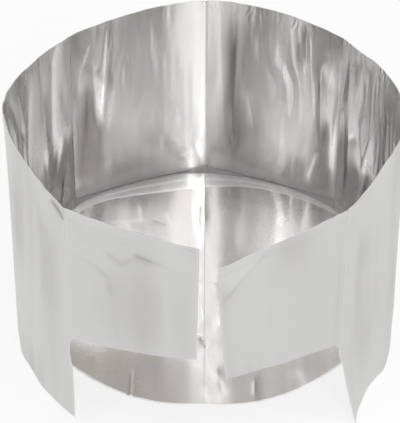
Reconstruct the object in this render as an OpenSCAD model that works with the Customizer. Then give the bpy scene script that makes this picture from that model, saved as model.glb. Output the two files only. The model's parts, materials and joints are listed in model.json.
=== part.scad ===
// Stove windscreen: a foil sheet folded into eight upright panels that stand in a ring, open at the
// front, around a round foil heat reflector. Every fold line is a hinge between the two sides of it.
// The ring's axis is the Z axis, and the sheet stands on the ground at Z = 0.

/* [Windscreen sheet] */
// Height of the sheet
screen_h = 182; // [140:1:240]
// Width of a panel, from one fold line to the next, which also sets how wide the ring is
panel_w = 102; // [80:1:130]
// Thickness of the foil
foil_t = 0.3; // [0.2:0.05:0.4]
// Width of the hem that is folded over to the outside at the top edge
hem_w = 8; // [4:0.5:15]

/* [End panels] */
// How much narrower an end panel is than the other panels
end_short = 10; // [8:1:40]
// Angle by which the left end panel stands open from the ring, in degrees
left_open = 6; // [0:1:30]
// Angle by which the right end panel stands open from the ring, in degrees
right_open = 15; // [0:1:30]

/* [Fuel line notch] */
// Height of the notch beside the fold lines of the end panels
notch_h = 73; // [60:1:90]
// How much higher the notch is at the free edges
notch_rise = 15; // [0:1:30]
// Radius of the notch's two inner corners
notch_r = 9; // [3:1:15]

/* [Fold lines] */
// Radius of the rounded ridge along a fold line
ridge_r = 0.35; // [0.3:0.05:0.6]
// Clearance between a ridge and the edge of the side that turns on it
fold_clear = 0.3; // [0.3:0.05:0.5]

/* [Heat reflector] */
// Height of the reflector's underside above the ground
reflector_z = 37.5; // [10:0.5:45]
// Clearance between the reflector's rim and the middle of each panel
rim_clear = 0.3; // [0.3:0.05:1]
// Width of one turn of the hem around the reflector's rim
rim_hem_w = 8; // [4:0.5:12]

/* [Hidden] */

$fn = 96;
// How far cutting shapes run past what they cut
over = 1;

// Angle that a panel takes up around the ring's axis, which is also the turn at each fold. Six such
// panels leave room at the front for the two end panels.
fold_angle = 46;
// Distance from the ring's axis to the middle of a panel
mid_r = panel_w / 2 / tan(fold_angle / 2);
// Distance from a fold line to the edge of the side that turns on it
edge_gap = ridge_r + fold_clear;

// Width of an end panel, from its fold line to its free edge
end_w = panel_w - end_short;
// The notch's inner corner touches the fold line and the slanted upper edge
notch_slope = atan(notch_rise / end_w);
notch_corner = [notch_r, notch_h + notch_r * tan(notch_slope) - notch_r / cos(notch_slope)];
notch_touch = notch_corner + notch_r * [-sin(notch_slope), cos(notch_slope)];

reflector_r = mid_r - foil_t / 2 - rim_clear;
// The hem has two turns: two layers of foil at its inner edge, three at the rim
rim_t = 3 * foil_t;
// The reflector's fold runs above its hem, so that one half folds flat onto the other
reflector_fold_z = reflector_z + rim_t + fold_clear / 2;
ridge_len = 2 * (reflector_r - rim_clear);

// Sets a panel, drawn square to +X, a number of folds round the ring from the back, left being positive
module in_ring(folds) {
    rotate([0, 0, 90 + folds * fold_angle])
        children();
}

// Flat foil between two places along a panel, with its top edge hemmed
module hemmed_foil(from, to) {
    translate([mid_r - foil_t / 2, from, 0])
        cube([foil_t, to - from, screen_h]);
    translate([mid_r - foil_t / 2, from, screen_h - hem_w])
        cube([2 * foil_t, to - from, hem_w]);
}

// The rounded ridge along the fold line at one side of a panel
module ridge(side) {
    translate([mid_r, side * panel_w / 2, 0])
        cylinder(r = ridge_r, h = screen_h);
}

// A panel that turns on its neighbour's ridge on the right and ends in a ridge of its own on the left
module left_hand_panel() {
    hemmed_foil(-panel_w / 2 + edge_gap, panel_w / 2);
    ridge(1);
}

// The same the other way round
module right_hand_panel() {
    hemmed_foil(-panel_w / 2, panel_w / 2 - edge_gap);
    ridge(-1);
}

// The notch under an end panel, from the fold line at 0 to past the free edge
module notch() {
    past = end_w + over;
    polygon([
        [-over, -over], [past, -over], [past, notch_h + past * tan(notch_slope)],
        notch_touch, notch_corner, [-over, notch_corner.y]
    ]);
    translate(notch_corner)
        circle(r = notch_r);
}

// An end panel on the right, turned out by an angle about its fold line
module right_hand_end(open) {
    translate([mid_r, panel_w / 2, 0])
        rotate([0, 0, open])
            difference() {
                translate([-mid_r, 0, 0])
                    hemmed_foil(-end_w, -edge_gap);
                rotate([90, 0, -90])
                    linear_extrude(4 * over, center = true)
                        notch();
            }
}

// The root of the folding ring, with a ridge on both sides
module back_left_panel() {
    color("silver") in_ring(0.5) {
        hemmed_foil(-panel_w / 2, panel_w / 2);
        ridge(-1);
        ridge(1);
    }
}

module back_right_panel() {
    color("silver") in_ring(-0.5) right_hand_panel();
}

module left_rear_panel() {
    color("silver") in_ring(1.5) left_hand_panel();
}

module left_front_panel() {
    color("silver") in_ring(2.5) left_hand_panel();
}

module left_end_panel() {
    color("gainsboro") in_ring(3.5) mirror([0, 1, 0]) right_hand_end(left_open);
}

module right_rear_panel() {
    color("silver") in_ring(-1.5) right_hand_panel();
}

module right_front_panel() {
    color("silver") in_ring(-2.5) right_hand_panel();
}

module right_end_panel() {
    color("gainsboro") in_ring(-3.5) right_hand_end(right_open);
}

// Half of the reflector, on +X and from a gap beside its fold: flat foil with a stepped hem at its rim
module half_disc(gap) {
    inner_r = reflector_r - 2 * rim_hem_w;
    middle_r = reflector_r - rim_hem_w;
    difference() {
        translate([0, 0, reflector_z])
            rotate([0, 0, -90])
                rotate_extrude(angle = 180)
                    polygon([
                        [0, 0], [reflector_r, 0], [reflector_r, rim_t],
                        [middle_r, rim_t], [middle_r, 2 * foil_t],
                        [inner_r, 2 * foil_t], [inner_r, foil_t], [0, foil_t]
                    ]);
        translate([-over, -reflector_r - over, reflector_z - over])
            cube([gap + over, 2 * (reflector_r + over), rim_t + 2 * over]);
    }
}

// The half that carries the ridge of the fold
module reflector_right() {
    color("whitesmoke") {
        half_disc(0);
        translate([-ridge_r, -ridge_len / 2, reflector_z])
            cube([2 * ridge_r, ridge_len, reflector_fold_z - reflector_z]);
        translate([0, ridge_len / 2, reflector_fold_z])
            rotate([90, 0, 0])
                cylinder(r = ridge_r, h = ridge_len);
    }
}

// The half that folds up and over about the ridge
module reflector_left() {
    color("whitesmoke")
        mirror([1, 0, 0])
            half_disc(edge_gap);
}

back_left_panel();
back_right_panel();
left_rear_panel();
left_front_panel();
left_end_panel();
right_rear_panel();
right_front_panel();
right_end_panel();
reflector_right();
reflector_left();
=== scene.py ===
"""Foil stove windscreen: crumpled foil skins over the folding ring and its round heat reflector."""

import json
import math

import bpy
import numpy as np
from mathutils import Matrix, Vector


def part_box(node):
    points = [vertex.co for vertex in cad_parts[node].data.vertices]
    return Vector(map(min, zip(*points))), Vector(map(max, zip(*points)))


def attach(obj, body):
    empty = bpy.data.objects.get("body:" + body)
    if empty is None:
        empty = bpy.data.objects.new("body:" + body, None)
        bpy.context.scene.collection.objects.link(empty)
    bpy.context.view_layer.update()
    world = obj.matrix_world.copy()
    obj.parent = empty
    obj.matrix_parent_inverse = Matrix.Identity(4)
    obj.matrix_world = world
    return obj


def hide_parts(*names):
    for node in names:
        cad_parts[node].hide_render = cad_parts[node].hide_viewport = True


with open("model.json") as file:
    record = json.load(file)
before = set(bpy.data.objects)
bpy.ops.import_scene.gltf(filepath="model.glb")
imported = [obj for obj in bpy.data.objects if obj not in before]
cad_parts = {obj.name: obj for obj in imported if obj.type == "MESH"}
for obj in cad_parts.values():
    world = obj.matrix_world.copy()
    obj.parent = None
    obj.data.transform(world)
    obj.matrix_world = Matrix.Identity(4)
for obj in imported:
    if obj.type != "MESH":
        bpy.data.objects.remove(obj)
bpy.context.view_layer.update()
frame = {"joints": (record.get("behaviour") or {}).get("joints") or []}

bl_info = {
    "name": "Foil Stove Windscreen",
    "version": (1, 0, 0),
    "blender": (4, 5, 0),
    "location": "3D View > Sidebar > Windscreen",
    "description": "Dresses the folding foil ring and its heat reflector in crumpled foil",
    "category": "Add Mesh",
}

FOLDS = {joint["name"]: joint["pos_m"] for joint in frame["joints"] if joint["type"] == "hinge"}
SHEET_LOW, SHEET_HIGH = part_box("back_left_panel")
DISC_LOW, DISC_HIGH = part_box("reflector_left")
MM = 0.001

# Direction on the ground from which light is painted: foil whose slope turns this way is painted lighter,
# and foil turned away darker. It points to the front and a little to the right
TO_FRONT = np.array([0.3, -0.95])
# Cells after which the noise repeats
LATTICE = 64
# Folds of a mesh that are steeper than this stay sharp
SHARP = math.radians(50)


def length_setting(name, description, default, **more):
    """A setting that is a length in metres."""
    return bpy.props.FloatProperty(name=name, description=description, default=default, unit="LENGTH", **more)


def angle_setting(name, description, degrees):
    """A setting that is an angle, with its default in degrees."""
    return bpy.props.FloatProperty(
        name=name, description=description, default=math.radians(degrees), subtype="ANGLE")


def colour_setting(name, description, default):
    """A setting that is a colour."""
    return bpy.props.FloatVectorProperty(name=name, description=description, default=default, subtype="COLOR")


class SheetSettings(bpy.types.PropertyGroup):
    """Sizes and finish of the folded foil sheet."""

    height: length_setting("Height", "Height of the sheet", SHEET_HIGH[2] - SHEET_LOW[2], min=0.1)
    thickness: length_setting("Thickness", "Thickness of one layer of foil", 0.3 * MM, min=0.05 * MM)
    hem: length_setting("Hem", "Width of the hem folded outwards at the top edge", 8 * MM)
    ridge: length_setting("Ridge", "Radius of the rounded ridge along a fold line", 0.24 * MM)
    fold_gap: length_setting("Fold gap", "Distance from a fold line to the edge that turns on it", 0.3 * MM)
    end_width: length_setting("End width", "Width of an end panel", 92 * MM)
    left_turn: angle_setting("Left turn", "Angle of the left end panel, forwards from straight across", 25)
    right_turn: angle_setting("Right turn", "Angle of the right end panel, forwards from straight across", 34)
    notch_height: length_setting("Notch height", "Height of the notch beside the fold lines", 73 * MM)
    notch_rise: length_setting("Notch rise", "How much higher the notch is at the free edges", 15 * MM)
    notch_corner: length_setting("Notch corner", "Radius of the notch's inner corners", 9 * MM)
    colour: colour_setting("Outside", "Colour of the sheet's satin outside", (0.64, 0.636, 0.628))
    bright: colour_setting("Inside", "Colour of the sheet's bright inside", (0.775, 0.77, 0.762))


class ReflectorSettings(bpy.types.PropertyGroup):
    """Sizes and finish of the round reflector."""

    radius: length_setting("Radius", "Radius of the reflector", DISC_HIGH[1])
    underside: length_setting("Underside", "Height of its underside above the ground", DISC_LOW[2])
    hem: length_setting("Hem", "Width of one turn of the hem at its rim", 8 * MM)
    gap: length_setting("Gap", "Distance that its rim keeps from the sheet", 0.9 * MM)
    crumple: length_setting("Crumple", "Depth of the crumples along its fold", 0.5 * MM)
    colour: colour_setting("Colour", "Colour of the reflector's foil", (0.66, 0.645, 0.628))
    dull: colour_setting("Dull side", "Colour of the foil's dull side, on the hem", (0.86, 0.855, 0.84))


class StudioSettings(bpy.types.PropertyGroup):
    """Floor and camera."""

    floor: colour_setting("Floor", "Colour of the floor", (0.85, 0.85, 0.85))
    lens: bpy.props.FloatProperty(
        name="Lens", description="Focal length of the camera in millimetres", default=177.0)
    lift: angle_setting("Lift", "Height of the camera above the horizon, as an angle", 38.6)
    distance: length_setting("Distance", "Distance from the camera to its target", 1.4)


def lattice_noise(x, y, seed):
    """Smooth noise: random values from -1 to 1 on a unit lattice, blended across each cell.

    The blend from one side of a cell to the other is 6t^5 - 15t^4 + 10t^3.
    """
    table = np.random.default_rng(seed).uniform(-1.0, 1.0, (LATTICE, LATTICE))
    column, row = np.floor(x).astype(int), np.floor(y).astype(int)
    s, t = x - column, y - row
    s, t = s**3 * (s * (6 * s - 15) + 10), t**3 * (t * (6 * t - 15) + 10)

    def corner(a, b):
        return table[(column + a) % LATTICE, (row + b) % LATTICE]

    near = (1 - s) * corner(0, 0) + s * corner(1, 0)
    far = (1 - s) * corner(0, 1) + s * corner(1, 1)
    return (1 - t) * near + t * far


def zigzag(turns):
    """A zigzag from -1 to 1 with slightly rounded corners: the arc sine of a sine, once for each turn."""
    crisp = 0.97
    return np.arcsin(crisp * np.sin(2 * math.pi * turns)) / math.asin(crisp)


def unit(x):
    """A value held between 0 and 1."""
    return np.clip(x, 0.0, 1.0)


def smooth_step(low, high, x):
    """Rises from 0 at low to 1 at high along 3t^2 - 2t^3."""
    t = unit((x - low) / (high - low))
    return t * t * (3 - 2 * t)


def bell(x, middle, spread):
    """A bump of height 1: e^(-d^2) at d spreads from its middle."""
    return np.exp(-((x - middle) / spread) ** 2)


def blend(pair, share):
    """From the first of a pair to the second, by a share from 0 to 1."""
    return pair[0] + (pair[1] - pair[0]) * share


def ribs(x, y, pitch, seed):
    """Upright ribs: a broad and a fine zigzag along x, whose lines wander and whose depth comes and goes."""
    total = 0.0
    for layer, (share, depth) in enumerate([(1.0, 1.0), (0.57, 0.45)]):
        own, wide = seed + 10 * layer, share * pitch
        shift = wide * (1.2 * lattice_noise(x / (2.6 * wide), y / 95, own)
                        + 0.3 * lattice_noise(x / (1.1 * wide), y / 30, own + 1))
        come = smooth_step(-0.45, 0.55, lattice_noise(x / (1.7 * wide) + 7, y / 60, own + 2))
        total = total + depth * come * zigzag((x + shift) / wide + 0.37 * layer)
    return total


def facets(x, y, pitch, seed):
    """Flat facets between straight creases: the mean of three zigzags in drawn directions and pitches."""
    draw = np.random.default_rng(seed)
    total = 0.0
    for turn, wide, phase in draw.uniform((0.0, 0.7, 0.0), (math.pi, 1.7, 1.0), (3, 3)):
        total = total + zigzag((x * math.cos(turn) + y * math.sin(turn)) / (wide * pitch) + phase) / 3
    return total


def pleats(x, y, lines):
    """Single creases: each has its depth on a line between two points, and fades beside it and at its ends.

    At a distance d beside the line it fades as e^(-d/width).
    """
    total = 0.0
    for x0, y0, x1, y1, depth, width in lines:
        length = math.hypot(x1 - x0, y1 - y0)
        along = ((x - x0) * (x1 - x0) + (y - y0) * (y1 - y0)) / length
        beside = ((y - y0) * (x1 - x0) - (x - x0) * (y1 - y0)) / length
        begun = smooth_step(-0.2 * length, 0.3 * length, along)
        ended = smooth_step(0.7 * length, 1.2 * length, along)
        ends = begun * (1 - ended)
        total = total + depth * ends * np.exp(-np.abs(beside) / width)
    return total


def tone_share(light):
    """How light the foil is, from 0 to 1: half and half of a hyperbolic tangent."""
    return 0.5 + 0.5 * np.tanh(light)


def quads(a, b, c, d):
    """Faces from four arrays of corners."""
    return np.stack([a, b, c, d], axis=-1).reshape(-1, 4)


def shell(outer, inner, lines, tones, closed_start=False, closed_end=False):
    """Arrays of a closed thin shell between two grids of points: both grids, and strips joining their edges.

    A closed start or end has both grids meeting in one line there, which is shared instead of joined by a
    strip. Faces of the outer grid and the strips take the first material, those of the inner grid the second.
    Lines are the grid's places across and along the foil's rolling lines, and tones how light the outer and
    the inner side are, from 0 to 1. The last array holds both for each point.
    """
    rows, columns = outer.shape[:2]
    index = np.arange(rows * columns).reshape(rows, columns)
    twin = index + rows * columns
    if closed_start:
        twin[:, 0] = index[:, 0]
    if closed_end:
        twin[:, -1] = index[:, -1]
    groups = [
        quads(index[:-1, :-1], index[:-1, 1:], index[1:, 1:], index[1:, :-1]),
        quads(twin[:-1, :-1], twin[1:, :-1], twin[1:, 1:], twin[:-1, 1:]),
        quads(index[0, :-1], twin[0, :-1], twin[0, 1:], index[0, 1:]),
        quads(index[-1, :-1], index[-1, 1:], twin[-1, 1:], twin[-1, :-1]),
    ]
    if not closed_start:
        groups.append(quads(index[:-1, 0], index[1:, 0], twin[1:, 0], twin[:-1, 0]))
    if not closed_end:
        groups.append(quads(index[:-1, -1], twin[:-1, -1], twin[1:, -1], index[1:, -1]))
    finish = np.concatenate([np.full(len(group), int(k == 1)) for k, group in enumerate(groups)])
    points = np.concatenate([outer.reshape(-1, 3), inner.reshape(-1, 3)])
    both_tones = np.concatenate([tone.ravel() for tone in tones])
    marks = np.column_stack([np.tile(lines.reshape(-1, 2), (2, 1)), both_tones])
    return points, np.concatenate(groups), finish, marks


def add_object(name, data):
    """A new object in the scene."""
    made = bpy.data.objects.new(name, data)
    bpy.context.scene.collection.objects.link(made)
    return made


def foil_object(name, shells, materials):
    """A mesh object from the arrays of one or more shells.

    Repeated corners of a face and points that no face uses are dropped.
    """
    all_points, all_faces, all_finish, all_marks = zip(*shells)
    starts = np.cumsum([0] + [len(points) for points in all_points])
    faces = np.concatenate([faces + start for faces, start in zip(all_faces, starts)])
    points, finish, marks = (np.concatenate(arrays) for arrays in (all_points, all_finish, all_marks))
    used = np.unique(faces)
    place = np.zeros(len(points), dtype=int)
    place[used] = np.arange(len(used))
    mesh = bpy.data.meshes.new(name)
    mesh.from_pydata(points[used].tolist(), [], [list(dict.fromkeys(face)) for face in place[faces].tolist()])
    for material in materials:
        mesh.materials.append(material)
    mesh.polygons.foreach_set("material_index", finish.astype(np.int32))
    mesh.polygons.foreach_set("use_smooth", np.ones(len(mesh.polygons), dtype=bool))
    corner = np.zeros(len(mesh.loops), dtype=np.int32)
    mesh.loops.foreach_get("vertex_index", corner)
    mesh.uv_layers.new(name="rolling").data.foreach_set("uv", marks[used][corner][:, :2].ravel())
    mesh.attributes.new("tone", "FLOAT", "POINT").data.foreach_set("value", marks[used][:, 2])
    mesh.update()
    mesh.set_sharp_from_angle(angle=SHARP)
    if mesh.validate():
        raise RuntimeError(f"{name} has faces that Blender had to mend")
    return add_object(name, mesh)


def dress(piece, node):
    """The piece stands for a node, whose part it hides, and rides on its body."""
    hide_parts(node)
    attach(piece, node)


# Each panel runs from its first fold line to its second, seen from above against the clock. Its edges are a
# ridge, a gap beside the neighbour's ridge, or free. Depths are in millimetres: the bulge at the top and the
# foot, broad flutes, ribs beside the first and the second fold line, with their pitch, and crimps under the
# rim. Skew moves the bulge towards the second fold line, at the foot and the top. Grain is the strength of
# fine streaks inside. Rise lifts the rim at the first and the second fold line. Shade is how much darker the
# inside is low down and lighter high up. Pleats are single creases: two points along and up, depth and width.
# Painted reflections are upright bands inside that lighten by a strength: painted highlights, and painted
# dark reflections where it is below zero. Marks are bands outside that darken by one: painted shade at
# creases, and painted light on a bent corner where it is below zero.
PANELS = {
    "back_left_panel": dict(
        folds=("back_fold", "left_rear_fold"), edges=("ridge", "ridge"), seed=11,
        top=8.0, foot=5.0, skew=(0.0, 0.0), flute=0.35, rib=(0.0, 0.25), pitch=25, crimp=0.02, grain=0.15,
        rise=(4.0, 0.0), shade=(0.8, 0.3),
        pleats=[(70, 184, 78, 96, -1.2, 2.5), (84, 152, 82, 96, 0.9, 4), (88, 100, 92, 50, 0.4, 5),
                (3, 46, 9, 66, 0.35, 3), (9, 58, 18, 50, 0.4, 3), (4, 40, 12, 44, -0.5, 2.5),
                (9, 93, 19, 85, -0.2, 2), (12, 104, 20, 99, 0.12, 2), (96, 150, 97, 70, 0.6, 4)],
        painted_reflections=[(13, 190, 9, 30, 2.6, 8), (86, 168, 94, 147, 1.4, 1.3), (83, 147, 79, 104, 1.6, 1.5),
                 (68, 175, 78, 104, 1.0, 1.5), (67, 129, 73, 95, 1.6, 1.5), (88, 130, 98, 34, -1.7, 6),
                 (79, 104, 84, 50, -0.8, 3), (46, 182, 52, 60, 0.35, 20)]),
    "back_right_panel": dict(
        folds=("right_rear_fold", "back_fold"), edges=("ridge", "gap"), seed=23,
        top=10.0, foot=5.0, skew=(0.0, 0.1), flute=0.4, rib=(0.3, 0.0), pitch=23, crimp=0.06, grain=0.2,
        rise=(0.0, 4.0), shade=(0.45, 0.3),
        pleats=[(93, 182, 88, 60, 0.45, 6), (80, 170, 84, 40, -0.7, 5), (72, 110, 66, 84, 0.6, 3),
                (17, 150, 12, 70, -1.0, 3), (12, 82, 20, 44, 1.0, 2.5), (6, 140, 6, 70, 0.9, 3),
                (86, 90, 82, 60, 0.6, 2.5), (30, 176, 28, 140, -0.6, 2.5)],
        painted_reflections=[(96, 178, 92, 110, 0.7, 2), (86, 176, 80, 44, -1.6, 8), (74, 176, 76, 120, -0.6, 4),
                 (50, 176, 44, 60, 0.6, 12), (30, 150, 24, 100, 0.6, 4), (10, 106, 14, 56, -1.8, 5),
                 (7, 155, 5, 60, 1.6, 1.2), (3, 120, 3, 50, 1.3, 1.0), (12, 168, 9, 112, 1.2, 1.2),
                 (1, 172, 1, 130, 1.5, 1.2), (17, 74, 24, 46, 1.0, 2), (6, 66, 12, 36, -1.8, 8),
                 (30, 66, 34, 38, -0.8, 8)]),
    "left_rear_panel": dict(
        folds=("left_rear_fold", "left_side_fold"), edges=("gap", "ridge"), seed=37,
        top=12.0, foot=6.0, skew=(0.0, 0.45), flute=1.2, rib=(0.4, 0.8), pitch=21, crimp=0.14, grain=0.4,
        shade=(1.9, 0.65),
        pleats=[(17, 168, 21, 95, 1.3, 3), (42, 166, 54, 99, 1.2, 3), (59, 163, 56, 130, 1.0, 3),
                (13, 181, 17, 166, 1.2, 2.5), (28, 150, 30, 80, -0.8, 5), (9, 72, 16, 44, 0.9, 2.5),
                (15, 66, 21, 46, -0.8, 2), (68, 150, 70, 110, -0.8, 4)],
        painted_reflections=[(16, 162, 20, 122, 2.1, 1.5), (20, 122, 22, 90, 1.4, 2), (42, 168, 54, 99, 1.9, 1.5),
                 (59, 165, 56, 135, 1.9, 1.5), (11, 102, 23, 67, 1.9, 1.2), (5, 158, 4, 90, 1.2, 2.5),
                 (13, 181, 17, 168, 2.3, 2.2), (30, 172, 32, 90, 0.8, 16), (3, 110, 10, 34, -2.2, 7),
                 (24, 90, 28, 34, -1.9, 8), (31, 150, 36, 96, -0.7, 3)]),
    "right_rear_panel": dict(
        folds=("right_side_fold", "right_rear_fold"), edges=("ridge", "gap"), seed=41,
        top=9.5, foot=6.0, skew=(0.0, -0.15), flute=1.0, rib=(0.8, 0.7), pitch=13, crimp=0.16, grain=0.5,
        shade=(0.3, 0.5),
        pleats=[(84, 126, 73, 84, 1.1, 2.5), (73, 84, 66, 118, -1.0, 2.5), (66, 118, 57, 88, 1.0, 2.5),
                (92, 160, 88, 70, -0.9, 3), (96, 120, 94, 50, 0.8, 2.5), (80, 172, 78, 130, 0.8, 3)],
        painted_reflections=[(84, 126, 75, 86, 1.7, 2), (66, 118, 58, 92, 1.7, 2), (90, 158, 89, 110, 1.4, 2),
                 (97, 110, 96, 40, -2.0, 6), (78, 84, 84, 40, -2.4, 10), (62, 90, 66, 60, -1.8, 8),
                 (48, 165, 50, 90, -1.3, 9), (72, 172, 70, 130, -1.2, 5)]),
    "left_front_panel": dict(
        folds=("left_side_fold", "left_end_fold"), edges=("gap", "ridge"), seed=53,
        top=5.0, foot=7.0, skew=(-0.4, -0.2), flute=0.8, rib=(0.15, 0.05), pitch=22, crimp=0.02, grain=0.5,
        pleats=[(88, 178, 103, 173, -1.0, 1.5), (60, 178, 72, 140, 0.2, 5)],
        marks=[(88, 178, 103, 173, 3.4, 1.2), (60, 178, 72, 140, 0.25, 5)]),
    "right_front_panel": dict(
        folds=("right_end_fold", "right_side_fold"), edges=("ridge", "gap"), seed=67,
        top=4.0, foot=9.0, skew=(0.5, 0.0), flute=0.8, rib=(0.05, 0.12), pitch=22, crimp=0.02, grain=0.5,
        pleats=[(30, 178, 24, 120, 0.15, 5)],
        marks=[(30, 178, 24, 120, 0.2, 5)]),
}

# The two end panels, which run from the fold line to a free edge on the left, and the other way on the right
END_PANELS = {
    "left_end_panel": dict(
        edges=("gap", "free"), seed=71,
        top=2.5, foot=1.5, skew=(0.0, 0.0), flute=0.5, rib=(0.05, 0.08), pitch=24, crimp=0.02, grain=0.4,
        pleats=[(48, 163, 62, 161, -0.7, 1.3), (28, 160, 40, 152, -0.25, 2.5), (40, 152, 50, 161, 0.2, 2.5),
                (24, 144, 31, 138, 0.25, 2.5), (31, 138, 33, 124, 0.3, 2.5), (18, 168, 46, 170, 0.18, 4),
                (64, 168, 84, 158, 0.12, 4)],
        marks=[(28, 160, 40, 152, 0.4, 2.2), (40, 152, 50, 161, 0.3, 2), (49, 163, 61, 161, 0.9, 1.6),
               (59, 162, 78, 160, 0.35, 1.8), (6, 149, 24, 144, 0.25, 1.8), (24, 144, 31, 138, 0.35, 1.6),
               (31, 138, 33, 124, 0.3, 1.6), (3, 174, 20, 160, 0.25, 4), (14, 168, 46, 171, 0.2, 4),
               (78, 182, 93, 178, 0.4, 2)]),
    "right_end_panel": dict(
        edges=("free", "gap"), seed=83,
        top=2.0, foot=1.5, skew=(0.0, 0.0), flute=0.5, rib=(0.05, 0.05), pitch=24, crimp=0.02, grain=0.4,
        pleats=[(2, 152, 30, 178, 0.12, 3)],
        marks=[(3, 152, 32, 178, 0.5, 1.5), (2, 167, 20, 182, -1.7, 7)]),
}

# Grid of a panel: distance between columns, and rows below the hem
COLUMN = 1.0 * MM
ROWS = 128
# Where the even columns start: past the fold line at a ridge, and past the edge at a gap
PAST_RIDGE = 0.8 * MM
PAST_GAP = 0.35 * MM
# Half the thickness of the edge at a gap, and the angles of the points round the bead at a ridge
THIN_HALF = 0.07 * MM
BEAD_TURN = np.radians(np.linspace(-90, 64, 8))
# Heights over which the hem steps out at its lower edge and is rounded at its upper edge, and the distance
# that its step keeps from the panel's sides
HEM_STEP = 0.9 * MM
HEM_ROUND = 0.5 * MM
HEM_INSET = 0.5 * MM
# Most that the rim sags between its highest places, and about the distance between them
SAG = 0.7 * MM
SAG_PITCH = 13 * MM


def across(width, edges, ridge, gap, thickness):
    """Places of the columns along a panel, and half the foil's thickness there.

    A ridged edge ends in a round bead about the fold line: the place is r sin a and the half thickness is
    r cos a. An edge beside a neighbour's ridge is thinner than the rest, so that it clears the neighbour when
    it is folded in.
    """
    starts = {"ridge": PAST_RIDGE, "gap": gap + PAST_GAP, "free": 0.0}
    borders = {
        "ridge": (ridge * np.sin(BEAD_TURN), np.maximum(ridge * np.cos(BEAD_TURN), 0.0)),
        "gap": (np.array([gap]), np.array([THIN_HALF])),
        "free": (np.array([]), np.array([])),
    }
    core = np.linspace(starts[edges[0]], width - starts[edges[1]], int(width / COLUMN))
    (first_place, first_half), (last_place, last_half) = (borders[edge] for edge in edges)
    place = np.concatenate([first_place, core, width - last_place[::-1]])
    half = np.concatenate([first_half, np.full(core.shape, thickness / 2), last_half[::-1]])
    return place, half


def upright(sheet, low):
    """Heights of the rows at each column.

    They are even from the lower edge to the hem, and then close about the hem's step.
    """
    hem_line = sheet.height - sheet.hem
    below = np.linspace(0.0, 1.0, ROWS)[:, None]
    on_hem = np.linspace(HEM_STEP, sheet.hem - HEM_ROUND, 7)
    above = hem_line + np.concatenate([[0.25 * MM], on_hem, [sheet.hem]])
    return np.concatenate([low + (hem_line - low) * below, np.repeat(above[:, None], low.shape[0], axis=1)])


def crumples(s, z, width, look):
    """Relief of a panel in metres at place s and height z, with no relief at its fold lines.

    The sum of a bulge 1 - (2u - 1)^2 skewed to one side, broad flutes of upright noise, upright ribs that
    calm down towards the rim and the foot, crimps under the rim, single pleats and fine unevenness. All but
    the bulge is calm where the reflector's rim comes near. x and y are in millimetres, and what divides them
    is a wavelength.
    """
    u = unit(s / width)
    high = smooth_step(0.15, 1.0, z / SHEET_HIGH[2])
    depth = blend((look["foot"], look["top"]), high)
    skew = blend(look["skew"], high)
    bulge = depth * (1 - (2 * u - 1) ** 2) * (1 + skew * (2 * u - 1))
    edge = np.minimum(u, 1 - u) * width
    x, y, seed = s / MM, z / MM, look["seed"]
    wander = 11 * lattice_noise(x / 45, y / 70, seed)
    flute = look["flute"] * lattice_noise((x + wander) / 21, y / 150, seed + 1)
    rib = (look["rib"][0] * (1 - u) + look["rib"][1] * u) * ribs(x, y, look["pitch"], seed + 2)
    under = SHEET_HIGH[2] / MM - y
    rib = rib * (0.3 + 0.7 * smooth_step(2.0, 40.0, under)) * (0.2 + 0.8 * smooth_step(2.0, 45.0, y))
    pinch = zigzag(x / 3.4 + 0.6 * lattice_noise(x / 9, y / 9, seed + 3))
    crimp = look["crimp"] * pinch * bell(under, 6, 5)
    fine = 0.05 * lattice_noise(x / 3.1, y / 22, seed + 7)
    calm = 1 - 0.8 * bell(z, DISC_LOW[2], 7 * MM)
    wide, near = smooth_step(0.0, 9 * MM, edge), smooth_step(0.0, 3 * MM, edge)
    return MM * (bulge + calm * (wide * (flute + rib) + near * (crimp + fine + pleats(x, y, look["pleats"]))))


def tones(s, z, relief, look, facing):
    """How light the panel's outside and inside are, from 0 to 1.

    The outside has soft patches, marks of painted shade at creases and of painted light on a bent corner,
    and is painted lighter beside the fold lines. The inside has upright bands of painted highlights and
    painted dark reflections, painted shade in the lower part and painted light high up, and a painted shadow
    below the reflector and just above it. Both are painted lighter where the relief's slope along the panel
    turns them to the front, by the share of facing.
    """
    x, y, seed = s / MM, z / MM, look["seed"]
    soft = 0.25 * lattice_noise(x / 26, y / 60, seed + 61) + 0.15 * lattice_noise(x / 9, y / 120, seed + 62)
    # Painted light beside the fold lines, which lifts the shade along each fold's ridge
    painted_fold_light_width = 0.9
    painted_fold_light = np.exp(-x / painted_fold_light_width) + np.exp((x - s.max() / MM) / painted_fold_light_width)
    # The slope paints light on both sides: foil turned to the front is lighter and foil turned away darker
    slope = np.gradient(relief, axis=1) / np.maximum(np.gradient(s, axis=1), 0.05 * MM)
    # The marks are painted shade along creases, and painted light on the right end panel's bent corner
    outside = soft + painted_fold_light - 0.5 * facing * slope - pleats(x, y, look.get("marks", []))
    fine = lattice_noise(x / 13, y / 170, seed + 63) + 0.5 * lattice_noise(x / 5, y / 110, seed + 64)
    above = (z - DISC_HIGH[2]) / MM
    # Painted shadow on the inside below the reflector's rim and for a little above it
    foot = 1.0 * (1 - smooth_step(-2, 6, above)) + 0.6 * (1 - smooth_step(0, 25, above))
    dark, light = look.get("shade", (0.0, 0.0))
    shade = light * smooth_step(80, 140, y) - dark * (1 - smooth_step(50, 115, y))
    # Upright bands of painted highlights and painted dark reflections on the inside
    painted_reflections = pleats(x, y, look.get("painted_reflections", []))
    inside = look["grain"] * fine + 1.6 * facing * slope + painted_reflections + shade - foot
    return tone_share(outside), tone_share(inside)


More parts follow.
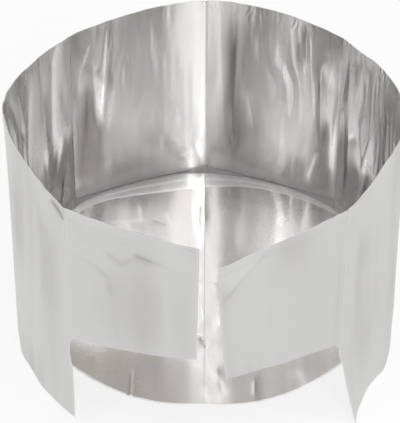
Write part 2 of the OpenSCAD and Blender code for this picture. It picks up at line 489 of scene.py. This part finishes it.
def hem_crimps(s, z, sheet, seed):
    """Outward step of the hem in metres: one more layer of foil over its width, pressed flat unevenly."""
    rise = smooth_step(-0.05 * MM, HEM_STEP, z - (sheet.height - sheet.hem))
    bent = np.clip((z - sheet.height + HEM_ROUND) / HEM_ROUND, 0.0, 0.9)
    fold = np.sqrt(unit(1 - bent**2))
    press = 1.0 + 0.4 * lattice_noise(s / MM / 5.0, z / MM / 9.0, seed)
    return sheet.thickness * rise * fold * press


def panel_shell(name, start, end, sheet, look, low, extra, materials):
    """A panel's closed shell: start + d s + n (relief +- half thickness) + height.

    d runs from the start to the end fold line and n points out of the ring. Low gives the lower edge as a
    function of place and width. Extra gives further shifts along n, d and up, as a function of place, height
    and width.
    """
    start, end, edges = np.array(start[:2]), np.array(end[:2]), look["edges"]
    width = float(np.linalg.norm(end - start))
    d = (end - start) / width
    n = np.array([d[1], -d[0]])
    place, half = across(width, edges, sheet.ridge, sheet.fold_gap, sheet.thickness)
    z = upright(sheet, low(place, width))
    s = np.repeat(place[None, :], z.shape[0], axis=0)
    out, along, up = extra(s, z, width)
    relief = crumples(s, z, width, look)
    tone = tones(s, z, relief, look, float(d @ TO_FRONT))
    relief = relief + out
    sag = SAG * smooth_step(0.8, 1.0, z / sheet.height)
    up = up - sag * np.abs(lattice_noise(s / SAG_PITCH, 0 * s, look["seed"]))
    rise = blend(look.get("rise", (0.0, 0.0)), smooth_step(0.0, 1.0, s / width))
    up = up + MM * rise * smooth_step(0.4, 1.0, z / sheet.height)
    hemmed = (s > HEM_INSET) & (s < width - HEM_INSET)
    hem = np.where(hemmed, hem_crimps(s, z, sheet, look["seed"] + 9), 0.0)

    def grid(offset):
        xy = start + d * (s + along)[..., None] + n * (relief + offset)[..., None]
        return np.concatenate([xy, (z + up)[..., None]], axis=-1)

    outer, inner = grid(half + hem), grid(-np.repeat(half[None, :], z.shape[0], axis=0))
    closed_start, closed_end = (edge == "ridge" for edge in edges)
    lines = np.stack([z, s], axis=-1)
    return foil_object(name, [shell(outer, inner, lines, tone, closed_start, closed_end)], materials)


def add_node(tree, kind, values=None):
    """A new shader node of a kind, with the values of some of its inputs."""
    node = tree.nodes.new("ShaderNode" + kind)
    for key, value in (values or {}).items():
        node.inputs[key].default_value = value
    return node


# Scales of the rolling lines along x, y and z, on the sheet and on the reflector
SHEET_GRAIN = (12.0, 12.0, 700.0)
DISC_GRAIN = (90.0, 8.0, 8.0)


def foil_material(name, colour, warm, swing, smooth, rough, bump, stretch, matt=0.0, grain=SHEET_GRAIN):
    """Metal foil: lighter and darker by the piece's tone, with fine dents and rolling lines as bump.

    Swing is how much darker and lighter it gets, and warm tints the dark. Its roughness lies between smooth
    and rough in soft patches, and is up to matt more where the tone is light. Its highlights stretch across
    the rolling lines, along the first place of the piece's rolling map. A material that exists is used again.
    """
    if name in bpy.data.materials:
        return bpy.data.materials[name]
    material = bpy.data.materials.new(name)
    material.use_nodes = True
    tree = material.node_tree
    link = tree.links.new
    shader = tree.nodes["Principled BSDF"]
    shader.inputs["Metallic"].default_value = 1.0
    shader.inputs["Anisotropic"].default_value = stretch
    rolled = add_node(tree, "Tangent")
    rolled.direction_type = "UV_MAP"
    rolled.uv_map = "rolling"
    link(rolled.outputs["Tangent"], shader.inputs["Tangent"])
    place = add_node(tree, "TexCoord")

    def noise(scale, squeeze, detail):
        mapping = add_node(tree, "Mapping", {"Scale": squeeze})
        texture = add_node(tree, "TexNoise", {"Scale": scale, "Detail": detail})
        link(place.outputs["Object"], mapping.inputs["Vector"])
        link(mapping.outputs["Vector"], texture.inputs["Vector"])
        return texture.outputs["Fac"]

    tone = add_node(tree, "Attribute")
    tone.attribute_name = "tone"
    shade = add_node(tree, "ValToRGB")
    ramp = shade.color_ramp.elements
    ramp[0].color = (*[(1 - swing[0]) * c * w for c, w in zip(colour, warm)], 1.0)
    ramp[1].color = (*[min(1.0, (1 + swing[1]) * c) for c in colour], 1.0)
    ramp.new(0.5).color = (*colour, 1.0)
    link(tone.outputs["Fac"], shade.inputs["Fac"])
    link(shade.outputs["Color"], shader.inputs["Base Color"])

    sheen = add_node(tree, "MapRange", {"From Min": 0.1, "From Max": 0.9, "To Min": smooth, "To Max": rough})
    link(noise(60.0, (1.0, 1.0, 0.5), 2.0), sheen.inputs["Value"])
    pale = add_node(tree, "MapRange", {"From Min": 0.72, "To Max": matt})
    pale.interpolation_type = "SMOOTHSTEP"
    link(tone.outputs["Fac"], pale.inputs["Value"])
    total = add_node(tree, "Math")
    total.operation = "ADD"
    link(sheen.outputs["Result"], total.inputs[0])
    link(pale.outputs["Result"], total.inputs[1])
    link(total.outputs["Value"], shader.inputs["Roughness"])

    dents = add_node(tree, "Bump", {"Strength": bump, "Distance": 0.001})
    link(noise(150.0, (1.0, 1.0, 0.3), 3.0), dents.inputs["Height"])
    rolling = add_node(tree, "Bump", {"Strength": 0.03, "Distance": 0.0004})
    link(noise(1.0, grain, 1.0), rolling.inputs["Height"])
    link(dents.outputs["Normal"], rolling.inputs["Normal"])
    link(rolling.outputs["Normal"], shader.inputs["Normal"])
    return material


def sheet_materials(sheet):
    """The sheet's two sides: satin outside and bright inside."""
    satin = foil_material(
        "foil_satin_outside", sheet.colour, warm=(1.0, 0.975, 0.945), swing=(0.4, 0.12), smooth=0.36,
        rough=0.5, bump=0.05, stretch=0.3)
    bright = foil_material(
        "foil_bright_inside", sheet.bright, warm=(1.0, 0.98, 0.96), swing=(0.7, 0.36), smooth=0.16,
        rough=0.26, bump=0.04, stretch=0.8, matt=0.2)
    return satin, bright


def level(place, width):
    """A lower edge on the ground."""
    return np.zeros(place.shape)


def left_leg(place, width):
    """The lower edge rises to the leg's tip beside the fold line."""
    rise, fade = 7 * MM, 55 * MM
    return rise * unit(1 - (width - place) / fade) ** 2


def still(s, z, width):
    """No shift."""
    return 0.0, 0.0, 0.0


def below_notch(z):
    """A share of 1 at the foot that falls to 0 just below the notch's upper edge."""
    return 1 - smooth_step(46 * MM, 63 * MM, z)


def left_edge(s, z, width):
    """The left leg reaches past its fold line below the notch."""
    shift, fade = 4 * MM, 30 * MM
    near = unit(1 - (width - s) / fade) ** 2
    return 0.0, shift * near * below_notch(z), 0.0


def right_flare(s, z, width):
    """The right leg stops short of its fold line below the notch, and its tip bends outwards."""
    shift, fade, tip_shift = 4.5 * MM, 30 * MM, 1.0 * MM
    flare, wide, high = 13 * MM, 42 * MM, 64 * MM
    near = unit(1 - s / fade) ** 2
    free = unit(1 - s / wide) ** 1.5 * unit(1 - z / high) ** 1.4
    return flare * free, shift * near * below_notch(z) + tip_shift * free, 0.0


class WINDSCREEN_OT_sheet_panels(bpy.types.Operator):
    """Makes the six panels of the ring, with the two legs beside the notch"""

    bl_idname = "windscreen.sheet_panels"
    bl_label = "Sheet Panels"

    def execute(self, context):
        sheet = context.scene.windscreen_sheet
        materials = sheet_materials(sheet)
        lows = {"left_front_panel": left_leg}
        extras = {"left_front_panel": left_edge, "right_front_panel": right_flare}
        for name, look in PANELS.items():
            first, second = (FOLDS[fold] for fold in look["folds"])
            piece = panel_shell(
                name + "_skin", first, second, sheet, look, lows.get(name, level), extras.get(name, still),
                materials)
            dress(piece, name)
        return {"FINISHED"}


def lower_part(z):
    """Shares that fall from 1 at the notch to 0, the first at the rim and the second sooner."""
    return unit(1 - (z - 80 * MM) / (100 * MM)), 1 - smooth_step(75 * MM, 120 * MM, z)


def left_twist(s, z, width):
    """The lower free corner is tucked into the ring, and the free edge slants."""
    tuck, slant, tilt = 6 * MM, 4 * MM, 2.5 * MM
    low, edge = lower_part(z)
    free = s / width
    return -tuck * free**2 * low, -slant * free**2 * low, tilt * (1 - 2 * free) * edge


class WINDSCREEN_OT_end_panels(bpy.types.Operator):
    """Makes the two end panels, which stop at the notch"""

    bl_idname = "windscreen.end_panels"
    bl_label = "End Panels"

    def execute(self, context):
        sheet = context.scene.windscreen_sheet
        materials = sheet_materials(sheet)
        slope = math.atan2(sheet.notch_rise, sheet.end_width)
        radius = sheet.notch_corner
        centre = sheet.notch_height + radius * math.tan(slope) - radius / math.cos(slope)

        def notch(distance):
            """Lower edge at a distance from the fold line: a quarter round, then a straight rising edge."""
            touch = radius * (1 - math.sin(slope))
            quarter = centre + np.sqrt(np.clip(radius**2 - (radius - distance) ** 2, 0.0, None))
            return np.where(distance < touch, quarter, sheet.notch_height + distance * math.tan(slope))

        def left_low(place, width):
            return notch(place)

        def right_low(place, width):
            return notch(width - place)

        def right_twist(s, z, width):
            """The lower free corner turns out, the free edge slants, and the upper corner is bent out."""
            turned, bent, drop = 2 * MM, 3 * MM, 2 * MM
            low, edge = lower_part(z)
            free = 1 - s / width
            corner = unit(1 - s / (27 * MM) - (sheet.height - z) / (22 * MM))
            out = turned * free**2 * low + bent * corner
            return out, blend((-6, 2), low) * MM * free**2, -drop * (1 - free) * edge

        def tip(fold, side, turn):
            """Place of the free edge, as seen from above."""
            aside, forwards = sheet.end_width * math.cos(turn), sheet.end_width * math.sin(turn)
            return [fold[0] + side * aside, fold[1] - forwards]

        left, right = FOLDS["left_end_fold"], FOLDS["right_end_fold"]
        panels = {
            "left_end_panel": (left, tip(left, 1, sheet.left_turn), left_low, left_twist),
            "right_end_panel": (tip(right, -1, sheet.right_turn), right, right_low, right_twist),
        }
        for name, (start, end, low, twist) in panels.items():
            piece = panel_shell(name + "_skin", start, end, sheet, END_PANELS[name], low, twist, materials)
            dress(piece, name)
        return {"FINISHED"}


# Bands of painted reflection on the reflector, painted highlights where the strength is above zero and
# painted dark reflections where it is below, and creases of its foil: two points across and along, strength
# or depth, and width, in millimetres
DISC_PAINTED_REFLECTIONS = [
    (-62, 104, -56, 0, 1.2, 26), (76, 100, 70, 10, 0.5, 24), (-15, 150, -13, 10, 2.2, 7),
    (30, 130, 24, 20, 0.6, 14), (-3, 160, -3, 45, -1.7, 3), (7, 160, 6, 40, 1.5, 4),
    (1, 60, 1, -80, 2.0, 8), (4, -60, 10, -118, 1.4, 5), (-4, -53, 2, -69, -2.3, 3.5),
    (3, -72, -3, -80, -1.7, 2.5), (9, -82, 10, -108, -2.1, 3.2), (-5, -80, 8, -64, 1.8, 1.2),
    (-3, -24, 0, -40, -1.2, 0.8),
]
DISC_PLEATS = [
    (-70, 67, -39, 72, 0.15, 2), (-39, 72, -27, 65, -0.2, 2), (-53, 58, -27, 47, -0.4, 2),
    (-60, 70, -52, 58, 0.3, 1.5), (-48, 90, -46, 68, 0.3, 1.2), (-28, 80, -22, 60, 0.25, 2),
    (-50, -114, -49, -88, -0.8, 1.3), (-47.5, -112, -47, -86, 0.7, 1.0), (-45.5, -114, -45, -84, -0.7, 1.2),
    (35, -114, 35, -90, -0.8, 1.4), (32, -109, 32.5, -95, 0.7, 1.3), (70, -104, 60, -84, 0.3, 4),
    (-86, -90, -74, -76, -0.3, 5), (3, -58, 6, -86, 0.6, 1.7), (6, -86, 14, -109, 0.7, 2.0),
    (-1, -103, 3, -118, 0.6, 1.6), (-9, -83, 5, -77, 0.5, 1.5),
]
# Most that the rim reaches out towards the sheet, in millimetres, at angles in degrees from the right against
# the clock, and where its hem is wide: angle, spread and share
REACH_AT = [-50, -20, 20, 44, 60, 82, 96, 136, 160, 200, 230]
REACH = [0.0, 1.5, 5.0, 6.0, 5.0, 5.5, 6.5, 6.5, 5.0, 1.5, 0.0]
HEM_SHARE = [(100, 30, 0.93), (55, 20, 0.2), (150, 15, 0.15)]
# Rows over the hem, as shares of its width, close about its two steps and its rounded rim
HEM_ROWS = np.array([0.02, 0.05, 0.09, 0.14, 0.2, 0.3, 0.4, 0.48, 0.52,
                     0.55, 0.59, 0.64, 0.72, 0.82, 0.92, 0.96, 0.985, 1.0])
# Rows from the middle to the hem, and columns round half of the rim
DISC_ROWS = 100
DISC_COLUMNS = 300
# How much lighter the hem is than the rest, and how much darker again its second turn is
HEM_LIGHTER = 1.6
TURN_DARKER = 1.1
# Most that the relief rises, in millimetres, so that the halves lie on each other when folded
MOST_RISE = 0.7
# Widest angle from a panel's middle that is looked at for room, in radians, past the panel's sides
WIDEST = 0.7
# How far the middle of the ridge's round top lies under the fold line
RIDGE_DROP = 0.44 * MM


def disc_relief(x, y, reflector):
    """Relief of the reflector in metres at x and y: soft waves, facets along its fold and creases.

    It rises to the ridge at its fold, fades out at the hem, and droops towards the front beside the fold.
    a and b are x and y in millimetres.
    """
    a, b = x / MM, y / MM
    r = np.hypot(a, b)
    rim = reflector.radius / MM
    inside = 1 - smooth_step(rim - 26, rim - 15, r) * smooth_step(-60, -20, b)
    beside = smooth_step(0.5, 5.0, np.abs(a))
    waves = 0.22 * lattice_noise(a / 38, b / 52, 101) + 0.16 * facets(a, b, 40, 102)
    along = bell(a, 3, 11) * (1.2 * facets(a, b, 34, 104) + 0.5 * facets(a, b, 15, 105))
    cross = -0.7 * np.exp(-np.abs(b - 2 - 0.03 * a) / 3.5) * (0.4 + 0.6 * bell(a, 0, 45))
    relief = inside * beside * (waves + reflector.crumple / MM * along + cross + pleats(a, b, DISC_PLEATS))
    droop = 3.2 * unit((-b - 40) / 80) ** 2 * (1 - bell(a, 0, 28))
    ridge = 0.45 * np.exp(-np.abs(a) / 2.2) * (0.2 + 0.8 * inside)
    return MM * (np.clip(relief, -2.0, MOST_RISE) + ridge - droop)


def disc_tone(x, y):
    """How light the reflector is at x and y, about 0: soft streaks, painted reflections and a darker front.
    """
    a, b = x / MM, y / MM
    soft = 0.25 * lattice_noise(a / 12, b / 70, 121) + 0.12 * lattice_noise(a / 4, b / 50, 122)
    # Darker towards the front, except right at the fold, and less so to the right
    dull = (1.1 - 0.006 * a) * smooth_step(45, 85, -b) * (1 - bell(a, 0, 20))
    # Creases are painted lighter where they rise and darker where they sink: painted light and shade
    return soft + pleats(a, b, DISC_PAINTED_REFLECTIONS) - dull + 2.0 * pleats(a, b, DISC_PLEATS)


def round_angle(turn):
    """An angle in degrees, from -90 to 270."""
    return (np.degrees(turn) + 90) % 360 - 90


def hem_share(turn):
    """How wide the hem is at an angle: a sum of bumps, each with its share as height."""
    angle = round_angle(turn)
    return 0.05 + sum(share * bell(angle, place, spread) for place, spread, share in HEM_SHARE)


def rim_reach(turn, reflector):
    """How far the rim stands out past its radius at an angle: up to the sheet's inside, within a set reach.

    A panel with its middle at m that bulges by b stands (m + b (1 - q^2)) / cos a from the axis, at an angle
    a and a share q from its middle.
    """
    angle = round_angle(turn)
    room = np.zeros(angle.shape)
    for look in PANELS.values():
        first, second = (np.array(FOLDS[fold][:2]) for fold in look["folds"])
        middle = (first + second) / 2
        half, distance = np.linalg.norm(second - first) / 2, np.linalg.norm(middle)
        away = turn - math.atan2(middle[1], middle[0])
        away = np.clip((away + math.pi) % (2 * math.pi) - math.pi, -WIDEST, WIDEST)
        share = np.tan(away) * distance / half
        sheet = (distance + look["foot"] * MM * (1 - share**2)) / np.cos(away)
        room = np.where(np.abs(share) <= 1, sheet - reflector.radius - reflector.gap, room)
    jag = 0.35 * MM * lattice_noise(angle / 2.3, 0 * angle, 113) * smooth_step(-0.3, 0.3, np.sin(turn))
    return np.minimum(room, MM * np.interp(angle, REACH_AT, REACH)) + jag


def half_disc(side, reflector, gap, thickness):
    """Arrays of one half of the reflector: points at radius r and angle t on its side of the fold.

    Its rim reaches out to the sheet, by less further in as r^6, and is hemmed. The hem lies on top at the
    left of the back and narrows from there, and in front it is turned under. Over it the top rises by up
    to one foil thickness at each turn, and shows the foil's dull side.
    """
    radius = reflector.radius
    turn = np.radians(np.linspace(-90, 90, DISC_COLUMNS))
    whole = turn if side > 0 else math.pi - turn
    over = hem_share(whole)
    body = np.linspace(0.0, 1.0, DISC_ROWS)[:, None] * (radius - 2 * reflector.hem * over)
    r = np.concatenate([body, radius - 2 * reflector.hem * over * (1 - HEM_ROWS[:, None])])
    t = np.repeat(turn[None, :], r.shape[0], axis=0)
    p = np.repeat(np.concatenate([np.zeros(len(body)), HEM_ROWS])[:, None], r.shape[1], axis=1)
    reach = r + rim_reach(whole, reflector) * (r / radius) ** 6
    x = gap + reach * np.cos(t) * (radius - gap) / radius
    y = reach * np.sin(t)
    relief = disc_relief(side * x, y, reflector)
    press = 0.03 * lattice_noise(t * 9, r / (12 * MM), 111)
    layers = over * (smooth_step(0.0, 0.16, p + press) + smooth_step(0.5, 0.66, p - press)) * (p > 0)
    rim = unit((p - 0.96) / 0.04)
    top = reflector.underside + relief + thickness * (1 + layers - 0.9 * rim**2)
    bottom = reflector.underside + relief + 0.5 * thickness * rim**2
    upper = np.stack([side * x, y, top], axis=-1)
    lower = np.stack([side * x, y, bottom], axis=-1)
    lines = np.stack([y, side * x], axis=-1)
    if side < 0:
        upper, lower, lines = upper[:, ::-1], lower[:, ::-1], lines[:, ::-1]
    light = disc_tone(lines[..., 1], lines[..., 0]) + HEM_LIGHTER * (p > 0) - TURN_DARKER * (p > 0.5)
    points, faces, finish, marks = shell(upper, lower, lines, 2 * [tone_share(light)])
    finish[len(body) * (len(turn) - 1):(len(r) - 1) * (len(turn) - 1)] = 1
    return points, faces, finish, marks


def fold_ridge(reflector, sheet, height):
    """Arrays of the ridge on the reflector's fold: a closed profile carried along the fold.

    The profile is a web with a round top just under the fold line, on a strip that reaches under the
    other half.
    """
    turn = np.radians(np.linspace(0, 180, 13))
    top = np.column_stack([sheet.ridge * np.cos(turn), height + sheet.ridge * np.sin(turn)])
    floor, strip, inset = reflector.underside, 2 * MM, 0.6 * MM
    high, low = floor - 0.2 * MM, floor - 0.4 * MM
    foot = np.array([[-sheet.ridge, high], [-strip, high], [-strip, low], [sheet.ridge, low]])
    profile = np.concatenate([top, foot])
    y = np.linspace(-reflector.radius + inset, reflector.radius - inset, 120)
    count = len(profile)
    x, z = (np.tile(side, len(y)) for side in profile.T)
    middles = [[0.0, y[0], floor], [0.0, y[-1], floor]]
    points = np.concatenate([np.column_stack([x, np.repeat(y, count), z]), middles])
    index = np.arange(len(y) * count).reshape(len(y), count)
    after = np.roll(index, -1, axis=1)
    start, end = len(y) * count, len(y) * count + 1
    sides = quads(index[:-1], index[1:], after[1:], after[:-1])
    caps = np.concatenate([
        quads(index[0], after[0], np.full(count, start), np.full(count, start)),
        quads(after[-1], index[-1], np.full(count, end), np.full(count, end))])
    faces = np.concatenate([sides, caps])
    # The ridge is painted light, which lifts the shade along the fold
    light = 0.95
    marks = np.column_stack([points[:, 1], points[:, 0], np.full(len(points), light)])
    return points, faces, np.zeros(len(faces), dtype=int), marks


class WINDSCREEN_OT_reflector(bpy.types.Operator):
    """Makes the two halves of the heat reflector"""

    bl_idname = "windscreen.reflector"
    bl_label = "Reflector"

    def execute(self, context):
        sheet, reflector = context.scene.windscreen_sheet, context.scene.windscreen_reflector
        bright = foil_material(
            "foil_reflector", reflector.colour, warm=(1.0, 0.965, 0.915), swing=(0.5, 0.42), smooth=0.22,
            rough=0.32, bump=0.03, stretch=0.6, matt=0.35, grain=DISC_GRAIN)
        dull = foil_material(
            "foil_reflector_dull", reflector.dull, warm=(1.0, 0.99, 0.98), swing=(0.35, 0.1), smooth=0.36,
            rough=0.5, bump=0.04, stretch=0.2, grain=DISC_GRAIN)
        half = half_disc(1, reflector, 0.0, sheet.thickness)
        ridge = fold_ridge(reflector, sheet, FOLDS["reflector_fold"][2] - RIDGE_DROP)
        right = foil_object("reflector_right_skin", [half, ridge], [bright, dull])
        dress(right, "reflector_right")
        half = half_disc(-1, reflector, sheet.fold_gap, sheet.thickness)
        left = foil_object("reflector_left_skin", [half], [bright, dull])
        dress(left, "reflector_left")
        return {"FINISHED"}


# Lamps: name, place, target, size in metres and power in watts
LAMPS = [
    ("overhead_softbox", (0.2, 0.1, 1.4), (0.0, 0.0, 0.05), (1.0, 0.8), 1.0),
    ("front_strip", (0.31, -1.0, 1.0), (0.0, 0.1, 0.1), (0.2, 0.9), 3.6),
    ("left_strip", (-0.9, -0.6, 0.9), (0.0, 0.0, 0.1), (0.12, 0.8), 1.2),
    ("right_strip", (1.0, -0.3, 0.9), (0.0, 0.0, 0.1), (0.12, 0.8), 2.4),
]
WHITE = (1.0, 1.0, 1.0, 1.0)
# Half the floor's side, its distance under the part, and how white it is to the rays that are seen
FLOOR_HALF = 6.0
FLOOR_DROP = 0.5 * MM
FLOOR_WHITE = 0.82
# Brightness of the surroundings as light on matte surfaces
DIM = 0.8
# Point that the camera looks at, and its roll
CAMERA_TARGET = Vector((-3.5 * MM, 0.0, 102 * MM))
CAMERA_ROLL = math.radians(0.4)


class WINDSCREEN_OT_stage(bpy.types.Operator):
    """Makes the pale floor, the white surroundings, the soft lamps and the camera"""

    bl_idname = "windscreen.stage"
    bl_label = "Stage"

    def execute(self, context):
        studio = context.scene.windscreen_studio
        self.add_floor(studio)
        self.add_surroundings(context.scene)
        for lamp in LAMPS:
            self.add_lamp(*lamp)
        self.add_camera(context.scene, studio)
        context.scene.view_settings.view_transform = "Standard"
        return {"FINISHED"}

    @staticmethod
    def seen_rays(tree):
        """1 for camera, glossy and transmission rays, as the largest of the three outputs of Light Path."""
        path = add_node(tree, "LightPath")
        seen = path.outputs["Is Camera Ray"]
        for ray in ("Is Glossy Ray", "Is Transmission Ray"):
            larger = add_node(tree, "Math")
            larger.operation = "MAXIMUM"
            tree.links.new(seen, larger.inputs[0])
            tree.links.new(path.outputs[ray], larger.inputs[1])
            seen = larger.outputs["Value"]
        return seen

    @staticmethod
    def mix_shaders(tree, share, first, second, output):
        """Gives an output a mix of two shaders, with the second one's share."""
        mix = add_node(tree, "MixShader")
        tree.links.new(share, mix.inputs["Fac"])
        tree.links.new(first, mix.inputs[1])
        tree.links.new(second, mix.inputs[2])
        tree.links.new(mix.outputs["Shader"], tree.nodes[output].inputs["Surface"])

    def add_floor(self, studio):
        """A square just under the part: pale and matte, and mostly white to the rays that are seen."""
        corners = np.array([[-1, -1], [1, -1], [1, 1], [-1, 1]]) * FLOOR_HALF
        points = np.column_stack([corners, np.full(4, -FLOOR_DROP)])
        mesh = bpy.data.meshes.new("floor")
        mesh.from_pydata(points.tolist(), [], [[0, 1, 2, 3]])
        floor = add_object("floor", mesh)
        material = bpy.data.materials.new("pale_floor")
        material.use_nodes = True
        tree = material.node_tree
        shader = tree.nodes["Principled BSDF"]
        shader.inputs["Base Color"].default_value = (*studio.floor, 1.0)
        shader.inputs["Roughness"].default_value = 0.9
        shader.inputs["Specular IOR Level"].default_value = 0.0
        glow = add_node(tree, "Emission")
        share = add_node(tree, "Math", {1: FLOOR_WHITE})
        share.operation = "MULTIPLY"
        tree.links.new(self.seen_rays(tree), share.inputs[0])
        self.mix_shaders(
            tree, share.outputs["Value"], shader.outputs["BSDF"], glow.outputs["Emission"], "Material Output")
        mesh.materials.append(material)

    def add_surroundings(self, scene):
        """White to the rays that are seen, and a little dimmer as light on matte surfaces."""
        world = bpy.data.worlds.new("white_surroundings")
        world.use_nodes = True
        tree = world.node_tree
        dim = tree.nodes["Background"]
        dim.inputs["Color"].default_value = WHITE
        dim.inputs["Strength"].default_value = DIM
        seen = add_node(tree, "Background", {"Color": WHITE, "Strength": 1.0})
        self.mix_shaders(
            tree, self.seen_rays(tree), dim.outputs["Background"], seen.outputs["Background"], "World Output")
        scene.world = world

    @staticmethod
    def add_lamp(name, place, target, size, power):
        """A rectangular soft lamp at a place, turned to face a target."""
        lamp = bpy.data.lights.new(name, "AREA")
        lamp.shape = "RECTANGLE"
        lamp.size, lamp.size_y = size
        lamp.energy = power
        holder = add_object(name, lamp)
        holder.location = place
        holder.rotation_euler = (Vector(target) - Vector(place)).to_track_quat("-Z", "Y").to_euler()

    @staticmethod
    def add_camera(scene, studio):
        """The camera of the photograph: above the front, looking down into the ring, with a slight roll."""
        camera = bpy.data.cameras.new("camera")
        camera.lens = studio.lens
        camera.sensor_width = 36.0
        holder = add_object("camera", camera)
        back = Vector((0.0, -math.cos(studio.lift), math.sin(studio.lift)))
        turn = Matrix.Rotation(math.pi / 2 - studio.lift, 4, "X") @ Matrix.Rotation(CAMERA_ROLL, 4, "Z")
        holder.matrix_world = Matrix.Translation(CAMERA_TARGET + back * studio.distance) @ turn
        scene.camera = holder


class WINDSCREEN_PT_panel(bpy.types.Panel):
    """Lists the windscreen's sizes and its operators"""

    bl_label = "Stove Windscreen"
    bl_idname = "WINDSCREEN_PT_panel"
    bl_space_type = "VIEW_3D"
    bl_region_type = "UI"
    bl_category = "Windscreen"

    def draw(self, context):
        for name in SETTINGS:
            settings, box = getattr(context.scene, name), self.layout.box()
            for key in settings.__annotations__:
                box.prop(settings, key)
        for operator in OPERATORS:
            self.layout.operator(operator.bl_idname)


SETTINGS = {
    "windscreen_sheet": SheetSettings,
    "windscreen_reflector": ReflectorSettings,
    "windscreen_studio": StudioSettings,
}
OPERATORS = (
    WINDSCREEN_OT_stage,
    WINDSCREEN_OT_sheet_panels,
    WINDSCREEN_OT_end_panels,
    WINDSCREEN_OT_reflector,
)


def register():
    """Registers the settings, the operators and the panel."""
    for name, settings in SETTINGS.items():
        bpy.utils.register_class(settings)
        setattr(bpy.types.Scene, name, bpy.props.PointerProperty(type=settings))
    for entry in (*OPERATORS, WINDSCREEN_PT_panel):
        bpy.utils.register_class(entry)


def unregister():
    """Takes back what register did, in the other order."""
    for entry in (WINDSCREEN_PT_panel, *reversed(OPERATORS)):
        bpy.utils.unregister_class(entry)
    for name, settings in reversed(SETTINGS.items()):
        delattr(bpy.types.Scene, name)
        bpy.utils.unregister_class(settings)


def main():
    """Makes the whole scene."""
    register()
    bpy.ops.windscreen.stage()
    bpy.ops.windscreen.sheet_panels()
    bpy.ops.windscreen.end_panels()
    bpy.ops.windscreen.reflector()


if __name__ == "__main__":
    main()
